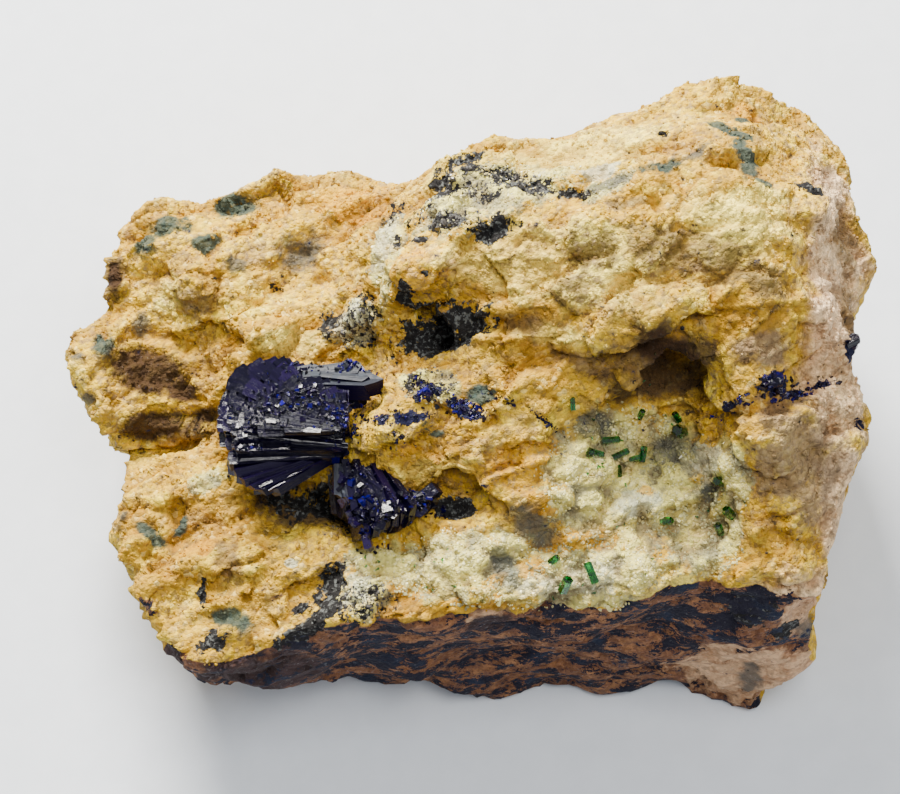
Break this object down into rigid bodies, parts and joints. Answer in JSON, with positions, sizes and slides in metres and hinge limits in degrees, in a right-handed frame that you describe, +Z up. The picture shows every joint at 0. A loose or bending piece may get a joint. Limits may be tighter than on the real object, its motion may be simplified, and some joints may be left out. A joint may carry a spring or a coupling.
{
  "type": "azurite specimen",
  "caption": "Broken block of iron-stained limonite and quartz rock with a fan-shaped azurite rosette, smaller azurite groups and small green prisms in an open pocket.",
  "frame": {"origin": "middle of the specimen's box, at the foot it stands on", "axes": "+Z up from the flat foot, +X along the long side towards the high mass, -Y towards the dark, iron-stained front face"},
  "size_m": [0.062, 0.0432, 0.0346],
  "materials": {
    "rock": "matt broken rock: ochre limonite with grey-white sugary quartz, black and blue-black stains",
    "azurite": "glossy, nearly black deep blue azurite",
    "green_crystal": "glossy, slightly see-through dark green crystal"
  },
  "bodies": {
    "root": {"matrix": "rock", "azurite_rosette": "azurite", "azurite_lower_cluster": "azurite", "azurite_seam_crystals": "azurite", "azurite_right_crystals": "azurite", "azurite_edge_crystal": "azurite", "green_crystal_01": "green_crystal", "green_crystal_02": "green_crystal", "green_crystal_03": "green_crystal", "green_crystal_04": "green_crystal", "green_crystal_05": "green_crystal", "green_crystal_06": "green_crystal", "green_crystal_07": "green_crystal", "green_crystal_08": "green_crystal", "green_crystal_09": "green_crystal", "green_crystal_10": "green_crystal", "green_crystal_11": "green_crystal", "green_crystal_12": "green_crystal", "green_crystal_13": "green_crystal", "green_crystal_14": "green_crystal", "green_crystal_15": "green_crystal", "green_crystal_16": "green_crystal", "green_crystal_17": "green_crystal", "green_crystal_18": "green_crystal"}
  },
  "joints": []
}
